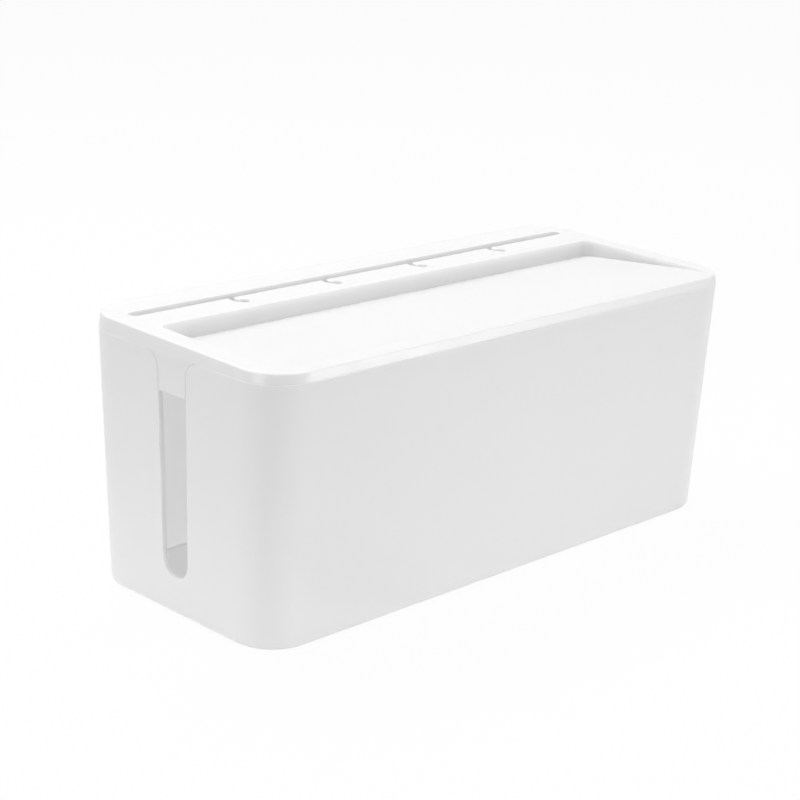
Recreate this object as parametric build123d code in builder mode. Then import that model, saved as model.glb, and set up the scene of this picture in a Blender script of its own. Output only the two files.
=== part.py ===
from build123d import *
import os

os.makedirs("parts", exist_ok=True)

# A cable management box: an open tub on four rubber feet, and a lid that rests on its rim.
# Millimetres, +Z up. The origin is the centre of the footprint, on the surface that the feet
# stand on. The front wall faces -Y, and the two ends with the cable ports face -X and +X.

# Overall shape
length = 320.0  # over the lid, end to end
width = 136.0  # over the lid, front to rear
rim_height = 125.2  # the tub's rim, where the lid rests
lid_rise = 7.8  # from the rim to the lid's top at the rear
top_fall = 3.0  # how much lower the lid's top is at the front
corner_radius = 22.0  # vertical corners of the lid and the rim
lid_lean = 1.0  # how far the lid's skirt leans in from the parting line to its top
lid_edge_radius = 0.9  # outer edge of the lid's top
parting_round = 0.3  # edges that meet at the parting line

# Tub
base_end_inset = 3.2  # how far each end wall leans in from the rim to the base
base_side_inset = 4.4  # the same for the front and rear walls
base_corner_radius = 21.5
base_edge_radius = 2.5
tub_wall = 2.4
tub_floor = 2.6
tub_inner_radius = 1.5  # inside, between the walls and the floor

# Cable port in each end wall
port_bottom = 19.2  # lowest point of the port
port_low_half_width = 9.0  # also the radius of its round bottom
port_top_half_width = 10.0  # just below the flare
flare_radius = 8.0

# Lid
skirt_wall = 3.2
plate = 2.4  # the lid's top
lip_depth = 5.0  # locating lip below the rim
lip_wall = 1.6
lip_root = 1.4  # how far the lip runs up inside the skirt
lip_clearance = 0.3
lip_round = 0.5
tongue_drop = 17.9  # from the rim to the tongue's lower edge
tongue_wall = 3.0
tongue_clearance = 0.3
tongue_round = 0.5
tongue_root_inset = 0.05  # the tongue's root lies this far inside the skirt's outer face

# Tray in the lid
tray_length = 297.6
tray_front = -58.0
tray_rear = 23.7
tray_depth = 9.0  # at the rear wall; the floor runs out to nothing at the front
tray_corner_radius = 5.5

# Cable slot and the hooked notches along its front edge
slot_length = 297.6
slot_width = 6.4
slot_y = 44.6
hook_count = 4
hook_pitch = 59.9
hook_set_back = 7.6  # from the slot's front edge to the centre of the round hole
hook_hole_diameter = 5.6
hook_channel = 2.7
hook_bulge = 2.8  # how far the channel swings toward -X on its way to the hole
slot_rim_wall = 2.0  # rim that stiffens the edges of the slot and the notches from below
slot_rim_depth = 2.0  # how far it reaches below the lid's plate

# Rubber feet
foot_diameter = 14.0
foot_thickness = 2.2
foot_recess = 1.2
foot_fit = 0.1  # radial clearance in the recess
foot_edge_round = 0.4
foot_end_margin = 24.8  # from the base's end to the foot's centre
foot_side_margin = 19.6  # from the base's front or rear to the foot's centre

# Worked out from the sizes above
height = rim_height + lid_rise
base_level = foot_thickness - foot_recess
floor_level = base_level + tub_floor
lip_level = rim_height - lip_depth
tongue_bottom = rim_height - tongue_drop
slot_front = slot_y - slot_width / 2
hook_y = slot_front - hook_set_back
top_slope = top_fall / width
top_plane = Plane(origin=(0, 0, height - top_fall / 2), x_dir=(1, 0, 0), z_dir=(0, -top_slope, 1))
plate_underside = top_plane.offset(-plate)


def lid_top(y):
    """Height of the lid's top at a distance y from the middle."""
    return height - top_slope * (width / 2 - y)


tray_rear_level = lid_top(tray_rear) - tray_depth
tray_slope = (lid_top(tray_front) - tray_rear_level) / (tray_rear - tray_front)
tray_plane = Plane(origin=(0, tray_rear, tray_rear_level), x_dir=(1, 0, 0), z_dir=(0, tray_slope, 1))


def outline(level, inset=0.0):
    """The box's rounded outline at a level, moved inward by inset."""
    lean = (rim_height - level) / (rim_height - base_level)
    end_inset = base_end_inset * lean + inset
    side_inset = base_side_inset * lean + inset
    radius = corner_radius + (base_corner_radius - corner_radius) * lean - inset
    with BuildSketch(Plane.XY.offset(level)) as sketch:
        RectangleRounded(length - 2 * end_inset, width - 2 * side_inset, radius)
    return sketch.sketch


def lid_form(inset=0.0):
    """The lid above the parting line: leaning sides and a sloping top, the sides moved inward by inset."""
    top_inset = lid_lean + inset
    with BuildSketch(top_plane) as top_outline:
        RectangleRounded(length - 2 * top_inset, width - 2 * top_inset, corner_radius - top_inset)
    with BuildPart() as form:
        loft([outline(rim_height, inset), top_outline.sketch])
    return form.part


def port_outline(inset=0.0):
    """The cable port seen along X, with its flare, up to a little above the rim."""
    flare_level = rim_height - flare_radius
    above_rim = rim_height + skirt_wall / 2
    with BuildSketch(Plane.YZ) as sketch:
        with BuildLine():
            round_end = CenterArc((0, port_bottom + port_low_half_width), port_low_half_width, -90, 90)
            Line(round_end @ 1, (port_top_half_width, flare_level))
            flare = CenterArc((port_top_half_width + flare_radius, flare_level), flare_radius, 90, 90)
            riser = Line(flare @ 0, ((flare @ 0).X, above_rim))
            Line(riser @ 1, (0, above_rim))
            mirror(about=Plane.YZ)
        make_face()
        offset(amount=-inset)
    return sketch.sketch


def tray_outline(grow=0.0):
    """The tray's outline in plan, moved outward by grow."""
    with BuildSketch(Plane.XY.offset(lip_level)) as sketch:
        with Locations((0, (tray_front + tray_rear) / 2)):
            Rectangle(tray_length + 2 * grow, tray_rear - tray_front + 2 * grow)
        fillet(sketch.vertices().group_by(Axis.Y)[-1], tray_corner_radius + grow)
    return sketch.sketch


def cable_outline(grow=0.0):
    """The cable slot and its hooked notches in plan, moved outward by grow."""
    with BuildSketch(Plane.XY) as hook:
        Circle(hook_hole_diameter / 2)
        with BuildLine() as channel_path:
            ThreePointArc(
                (hook_channel / 4, hook_set_back + hook_channel / 2),
                (-hook_bulge, hook_set_back / 3),
                (-hook_hole_diameter / 4, 0),
            )
        trace(channel_path.line, hook_channel)
    with BuildSketch(Plane.XY.offset(rim_height)) as sketch:
        with Locations((0, slot_y)):
            SlotOverall(slot_length, slot_width)
        with Locations((0, hook_y)):
            with GridLocations(hook_pitch, 0, hook_count, 1):
                add(hook.sketch)
        offset(amount=grow)
    return sketch.sketch


# ---- tub ----
with BuildPart() as tub_hollow:
    loft([outline(floor_level, tub_wall), outline(rim_height, tub_wall)])
    fillet(tub_hollow.edges().group_by(Axis.Z)[0], tub_inner_radius)

foot_spots = GridLocations(
    length - 2 * (base_end_inset + foot_end_margin),
    width - 2 * (base_side_inset + foot_side_margin),
    2,
    2,
)

with BuildPart() as tub:
    loft([outline(base_level), outline(rim_height)])
    fillet(tub.edges().group_by(Axis.Z)[0], base_edge_radius)
    fillet(tub.edges().group_by(Axis.Z)[-1], parting_round)
    add(tub_hollow.part, mode=Mode.SUBTRACT)
    extrude(port_outline(), amount=length, both=True, mode=Mode.SUBTRACT)
    with BuildSketch(Plane.XY.offset(base_level)):
        with foot_spots:
            Circle(foot_diameter / 2 + foot_fit)
    extrude(amount=foot_recess, mode=Mode.SUBTRACT)

tub.part.label = "tub"
export_step(tub.part, "parts/tub.step")

# ---- feet ----
foot_names = ["foot_front_left", "foot_rear_left", "foot_front_right", "foot_rear_right"]
for foot_name, spot in zip(foot_names, foot_spots.locations):
    with BuildPart(Plane(spot)) as foot:
        Cylinder(foot_diameter / 2, foot_thickness, align=(Align.CENTER, Align.CENTER, Align.MIN))
        fillet(foot.edges().group_by(Axis.Z)[0], foot_edge_round)
    foot.part.label = foot_name
    export_step(foot.part, f"parts/{foot_name}.step")

# ---- lid ----
with BuildPart() as lid_hollow:
    add(lid_form(skirt_wall))
    split(bisect_by=plate_underside, keep=Keep.BOTTOM)

with BuildPart() as lip:
    extrude(outline(lip_level, tub_wall + lip_clearance), amount=lip_depth + lip_root)
    fillet(lip.edges().group_by(Axis.Z)[0], lip_round)
    extrude(outline(lip_level, tub_wall + lip_clearance + lip_wall), amount=height, mode=Mode.SUBTRACT)

with BuildPart() as tongues:
    loft([outline(tongue_bottom), outline(rim_height)])
    fillet(tongues.edges().group_by(Axis.Z)[0], tongue_round)
    add(lid_form(tongue_root_inset))
    loft([outline(tongue_bottom, tongue_wall), outline(rim_height, tongue_wall)], mode=Mode.SUBTRACT)
    extrude(outline(rim_height, tongue_wall), amount=height, mode=Mode.SUBTRACT)
    extrude(port_outline(tongue_clearance), amount=length, both=True, mode=Mode.INTERSECT)

with BuildPart() as tray_pan:
    extrude(tray_outline(plate), amount=height)
    split(bisect_by=tray_plane.offset(-plate), keep=Keep.TOP)
    split(bisect_by=top_plane.offset(-plate / 2), keep=Keep.BOTTOM)

with BuildPart() as tray_recess:
    extrude(tray_outline(), amount=height)
    split(bisect_by=tray_plane, keep=Keep.TOP)

with BuildPart() as slot_rim:
    extrude(cable_outline(slot_rim_wall), amount=height)
    split(bisect_by=plate_underside.offset(-slot_rim_depth), keep=Keep.TOP)
    split(bisect_by=top_plane.offset(-plate / 2), keep=Keep.BOTTOM)

with BuildPart() as lid:
    add(lid_form())
    fillet(lid.faces().sort_by(Axis.Z)[-1].edges(), lid_edge_radius)
    fillet(lid.edges().group_by(Axis.Z)[0], parting_round)
    add(lid_hollow.part, mode=Mode.SUBTRACT)
    add(lip.part)
    add(tongues.part)
    add(tray_pan.part)
    add(slot_rim.part)
    add(tray_recess.part, mode=Mode.SUBTRACT)
    extrude(cable_outline(), amount=height, mode=Mode.SUBTRACT)

lid.part.label = "lid"
export_step(lid.part, "parts/lid.step")
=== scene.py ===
from math import cos, radians, sin

import bpy
from mathutils import Matrix, Vector

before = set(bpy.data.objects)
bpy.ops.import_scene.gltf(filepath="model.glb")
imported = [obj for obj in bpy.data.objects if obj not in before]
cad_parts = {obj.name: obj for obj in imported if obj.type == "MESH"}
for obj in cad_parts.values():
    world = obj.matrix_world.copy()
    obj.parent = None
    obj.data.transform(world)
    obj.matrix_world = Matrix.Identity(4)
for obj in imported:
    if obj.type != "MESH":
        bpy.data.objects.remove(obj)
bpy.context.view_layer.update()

MM = 0.001


# ---- shader building blocks ----
def linear(hex_colour):
    """An sRGB hex colour as a linear RGBA."""
    channels = [int(hex_colour[i:i + 2], 16) / 255 for i in (1, 3, 5)]
    return [c / 12.92 if c <= 0.04045 else ((c + 0.055) / 1.055) ** 2.4 for c in channels] + [1.0]


def add_node(tree, kind, settings=None, inputs=None):
    """Adds a node, sets its properties, and fills its inputs with values or with other nodes' outputs."""
    node = tree.nodes.new(kind)
    for name, value in (settings or {}).items():
        setattr(node, name, value)
    for socket, value in (inputs or {}).items():
        if isinstance(value, bpy.types.NodeSocket):
            tree.links.new(value, node.inputs[socket])
        else:
            node.inputs[socket].default_value = value
    return node


def new_material(name):
    """An empty material with its output node."""
    material = bpy.data.materials.new(name)
    material.use_nodes = True
    tree = material.node_tree
    tree.nodes.clear()
    return material, tree, add_node(tree, "ShaderNodeOutputMaterial")


def seen_directly(tree):
    """1 for a ray from the camera, off a gloss or through something clear, and 0 for any other."""
    path = add_node(tree, "ShaderNodeLightPath").outputs
    seen = path["Is Camera Ray"]
    for ray in ("Is Glossy Ray", "Is Transmission Ray"):
        seen = add_node(tree, "ShaderNodeMath", {"operation": "MAXIMUM"}, {0: seen, 1: path[ray]}).outputs[0]
    return seen


# ---- finishes ----
def injection_moulded_abs(name, colour, lighter, offset):
    """White ABS out of a spark-eroded mould: a soft sheen over a very fine even grain, faint long
    waves where the melt flowed and shrank, and a little light that passes through the thin walls.
    The offset shifts the patterns, so that two mouldings don't repeat each other."""
    material, tree, output = new_material(name)
    place = add_node(tree, "ShaderNodeTexCoord").outputs["Object"]
    shifted = add_node(tree, "ShaderNodeVectorMath", {"operation": "ADD"}, {0: place, 1: offset}).outputs[0]

    # Spark-eroded grain, about 0.1 mm from peak to peak, drawn at 0.5 mm so that it can show
    grain = add_node(
        tree, "ShaderNodeTexNoise", None,
        {"Vector": shifted, "Scale": 1 / (0.5 * MM), "Detail": 2.0, "Roughness": 0.55},
    )
    # Shrinkage waves, 45 mm long
    waves = add_node(
        tree, "ShaderNodeTexNoise", None,
        {"Vector": shifted, "Scale": 1 / (45 * MM), "Detail": 1.5, "Roughness": 0.4},
    )
    # Handling marks and uneven sheen, in 12 mm patches
    handling = add_node(
        tree, "ShaderNodeTexNoise", None,
        {"Vector": shifted, "Scale": 1 / (12 * MM), "Detail": 4.0, "Roughness": 0.6},
    )
    wave_bump = add_node(
        tree, "ShaderNodeBump", None,
        {"Strength": 0.35, "Distance": 0.12 * MM, "Height": waves.outputs["Fac"]},
    )
    grain_bump = add_node(
        tree, "ShaderNodeBump", None,
        {
            "Strength": 0.16,
            "Distance": 0.012 * MM,
            "Height": grain.outputs["Fac"],
            "Normal": wave_bump.outputs["Normal"],
        },
    )
    pigment = add_node(
        tree, "ShaderNodeMix", {"data_type": "RGBA"},
        {"Factor": waves.outputs["Fac"], "A": linear(colour), "B": linear(lighter)},
    )
    sheen = add_node(
        tree, "ShaderNodeMapRange", None,
        {"Value": handling.outputs["Fac"], "From Min": 0.3, "From Max": 0.7, "To Min": 0.3, "To Max": 0.38},
    )

    # Light scatters 1.5 mm deep in an outer face. A face that looks inward gets 16 mm, because light
    # also reaches it through the thin wall behind it. Inward is against a line that runs out from
    # the box's upright axis and rises 50 mm.
    outward = add_node(
        tree, "ShaderNodeVectorMath", {"operation": "MULTIPLY_ADD"},
        {0: place, 1: (1.0, 1.0, 0.0), 2: (0.0, 0.0, 50 * MM)},
    )
    normal = add_node(tree, "ShaderNodeNewGeometry").outputs["True Normal"]
    facing = add_node(
        tree, "ShaderNodeVectorMath", {"operation": "DOT_PRODUCT"},
        {0: normal, 1: outward.outputs[0]},
    )
    inner = add_node(tree, "ShaderNodeMath", {"operation": "LESS_THAN"}, {0: facing.outputs["Value"], 1: 0.0})
    depth = add_node(
        tree, "ShaderNodeMix", None,
        {"Factor": inner.outputs[0], "A": 1.5 * MM, "B": 16 * MM},
    )
    plastic = add_node(
        tree, "ShaderNodeBsdfPrincipled", {"subsurface_method": "RANDOM_WALK"},
        {
            "Base Color": pigment.outputs["Result"],
            "Roughness": sheen.outputs["Result"],
            "IOR": 1.52,
            "Normal": grain_bump.outputs["Normal"],
            "Subsurface Weight": 1.0,
            "Subsurface Radius": (1.0, 1.0, 1.0),
            "Subsurface Scale": depth.outputs["Result"],
        },
    )

    # Part of a lamp's light comes out on the far side of a wall
    lamp_ray = add_node(tree, "ShaderNodeLightPath").outputs["Is Shadow Ray"]
    passed_on = add_node(tree, "ShaderNodeBsdfTransparent", None, {"Color": linear("#D3D3D3")})
    wall = add_node(
        tree, "ShaderNodeMixShader", None,
        {0: lamp_ray, 1: plastic.outputs[0], 2: passed_on.outputs[0]},
    )
    tree.links.new(wall.outputs[0], output.inputs["Surface"])
    return material


def moulded_rubber(name, colour, darker):
    """Thermoplastic rubber pads: matt, a fine dimpled skin, and dust that greys them unevenly."""
    material, tree, output = new_material(name)
    place = add_node(tree, "ShaderNodeTexCoord").outputs["Object"]

    # Dimples of the mould's skin, 0.6 mm apart
    dimples = add_node(
        tree, "ShaderNodeTexVoronoi", {"feature": "SMOOTH_F1"},
        {"Vector": place, "Scale": 1 / (0.6 * MM)},
    )
    # Dust, in 4 mm patches
    dust = add_node(tree, "ShaderNodeTexNoise", None, {"Vector": place, "Scale": 1 / (4 * MM), "Detail": 5.0})
    bump = add_node(
        tree, "ShaderNodeBump", None,
        {"Strength": 0.4, "Distance": 0.05 * MM, "Height": dimples.outputs["Distance"]},
    )
    tone = add_node(
        tree, "ShaderNodeMix", {"data_type": "RGBA"},
        {"Factor": dust.outputs["Fac"], "A": linear(colour), "B": linear(darker)},
    )
    rubber = add_node(
        tree, "ShaderNodeBsdfPrincipled", None,
        {
            "Base Color": tone.outputs["Result"],
            "Roughness": 0.82,
            "IOR": 1.5,
            "Normal": bump.outputs["Normal"],
        },
    )
    tree.links.new(rubber.outputs[0], output.inputs["Surface"])
    return material


mouldings = {
    "tub": injection_moulded_abs("tub_moulded_abs", "#F5F5F5", "#F8F8F8", (0.0, 0.0, 0.0)),
    "lid": injection_moulded_abs("lid_moulded_abs", "#F6F6F6", "#F9F9F9", (0.31, 0.17, 0.05)),
}
foot_rubber = moulded_rubber("foot_moulded_rubber", "#C3C3C1", "#B4B4B1")
for name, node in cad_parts.items():
    node.data.materials.clear()
    node.data.materials.append(mouldings.get(name, foot_rubber))


# ---- floor and backdrop ----
def painted_floor():
    """A sweep that is white to the eye and in reflections, and keeps a trace of its own shading for
    the shadow."""
    material, tree, output = new_material("white_sweep_paint")
    share = add_node(tree, "ShaderNodeMath", {"operation": "MULTIPLY"}, {0: seen_directly(tree), 1: 0.95})

    # Painted shade: for diffuse rays only, the floor is painted darker from 250 to 550 mm out from its
    # middle, so that only the floor near the box throws much light back at it
    place = add_node(tree, "ShaderNodeTexCoord").outputs["Object"]
    away = add_node(tree, "ShaderNodeVectorMath", {"operation": "LENGTH"}, {0: place}).outputs["Value"]
    far = add_node(
        tree, "ShaderNodeMapRange", None,
        {"Value": away, "From Min": 250 * MM, "From Max": 550 * MM},
    )
    diffuse_ray = add_node(tree, "ShaderNodeLightPath").outputs["Is Diffuse Ray"]
    dim = add_node(
        tree, "ShaderNodeMath", {"operation": "MULTIPLY"},
        {0: far.outputs["Result"], 1: diffuse_ray},
    )
    # Painted shade on the floor, seen only by light that bounces back at the box
    tone = add_node(
        tree, "ShaderNodeMix", {"data_type": "RGBA"},
        {"Factor": dim.outputs[0], "A": linear("#F4F4F4"), "B": linear("#B0B0B0")},
    )
    paint = add_node(tree, "ShaderNodeBsdfDiffuse", None, {"Color": tone.outputs["Result"]})
    glow = add_node(tree, "ShaderNodeEmission", None, {"Color": linear("#FFFFFF"), "Strength": 1.0})
    mixed = add_node(
        tree, "ShaderNodeMixShader", None,
        {0: share.outputs[0], 1: paint.outputs[0], 2: glow.outputs[0]},
    )
    tree.links.new(mixed.outputs[0], output.inputs["Surface"])
    return material


reach = 6.0  # from the middle of the floor to each of its sides
floor_corners = [(-reach, -reach, 0), (reach, -reach, 0), (reach, reach, 0), (-reach, reach, 0)]
floor_mesh = bpy.data.meshes.new("floor")
floor_mesh.from_pydata(floor_corners, [], [(0, 1, 2, 3)])
floor_mesh.materials.append(painted_floor())
floor = bpy.data.objects.new("floor", floor_mesh)
bpy.context.scene.collection.objects.link(floor)


# ---- light ----
def studio_world():
    """A dim room that lights the object evenly, and a white backdrop wherever it is seen directly."""
    world = bpy.data.worlds.new("studio")
    world.use_nodes = True
    tree = world.node_tree
    tree.nodes.clear()
    room = add_node(tree, "ShaderNodeBackground", None, {"Color": linear("#FFFFFF"), "Strength": 0.36})
    backdrop = add_node(tree, "ShaderNodeBackground", None, {"Color": linear("#FFFFFF"), "Strength": 1.0})
    mixed = add_node(
        tree, "ShaderNodeMixShader", None,
        {0: seen_directly(tree), 1: room.outputs[0], 2: backdrop.outputs[0]},
    )
    add_node(tree, "ShaderNodeOutputWorld", None, {"Surface": mixed.outputs[0]})
    return world


def softbox(name, place, aim, size, power, spread=180):
    """A rectangular studio light at a place, turned toward a point. Its sides are in metres and its
    power is in watts. A grid on its front narrows its spread, in degrees."""
    light = bpy.data.lights.new(name, "AREA")
    light.shape = "RECTANGLE"
    light.size, light.size_y = size
    light.energy = power
    light.spread = radians(spread)
    lamp = bpy.data.objects.new(name, light)
    bpy.context.scene.collection.objects.link(lamp)
    lamp.location = place
    lamp.rotation_euler = (Vector(aim) - Vector(place)).to_track_quat("-Z", "Y").to_euler()
    lamp.visible_camera = False


bpy.context.scene.world = studio_world()
softbox("rear_overhead_softbox", (0.0, 0.75, 1.45), (0, 0, 0.1), (1.8, 0.9), 15.5)
softbox("front_overhead_softbox", (0.0, -0.75, 1.45), (0, 0, 0.1), (1.8, 0.7), 5.0)
softbox("left_softbox", (-1.48, -0.2, 0.25), (0, 0, 0.06), (0.5, 0.4), 4.0)
softbox("front_softbox", (0.9, -1.25, 0.25), (-0.24, -0.07, 0.06), (0.5, 0.5), 0.85, 60)


# ---- camera ----
def place_camera(azimuth, elevation, roll, distance, aim, slide, lens_px, frame_px=800):
    """Sets a camera that looks along +Y at azimuth 0, with angles in degrees and its focal length in
    pixels of its frame. It turns toward the aim, and then slides right and up without turning, by
    these shares of its distance."""
    a, e, r = radians(azimuth), radians(elevation), radians(roll)
    back = Vector((sin(a) * cos(e), -cos(a) * cos(e), sin(e)))
    level = Vector((cos(a), sin(a), 0))
    upright = back.cross(level)
    right = level * cos(r) + upright * sin(r)
    up = upright * cos(r) - level * sin(r)
    spot = Vector(aim) + distance * (back + right * slide[0] + up * slide[1])

    data = bpy.data.cameras.new("camera")
    data.sensor_width = 36.0
    data.lens = lens_px / frame_px * data.sensor_width
    data.clip_start, data.clip_end = 0.05, 50.0
    camera = bpy.data.objects.new("camera", data)
    bpy.context.scene.collection.objects.link(camera)
    camera.matrix_world = Matrix.Translation(spot) @ Matrix((right, up, back)).transposed().to_4x4()
    bpy.context.scene.camera = camera


place_camera(
    azimuth=-45.155,
    elevation=17.357,
    roll=2.137,
    distance=982 * MM,
    aim=(0, 0, 67 * MM),
    slide=(-0.0116, 0.0067),
    lens_px=1951.5,
)

bpy.context.scene.view_settings.view_transform = "Standard"
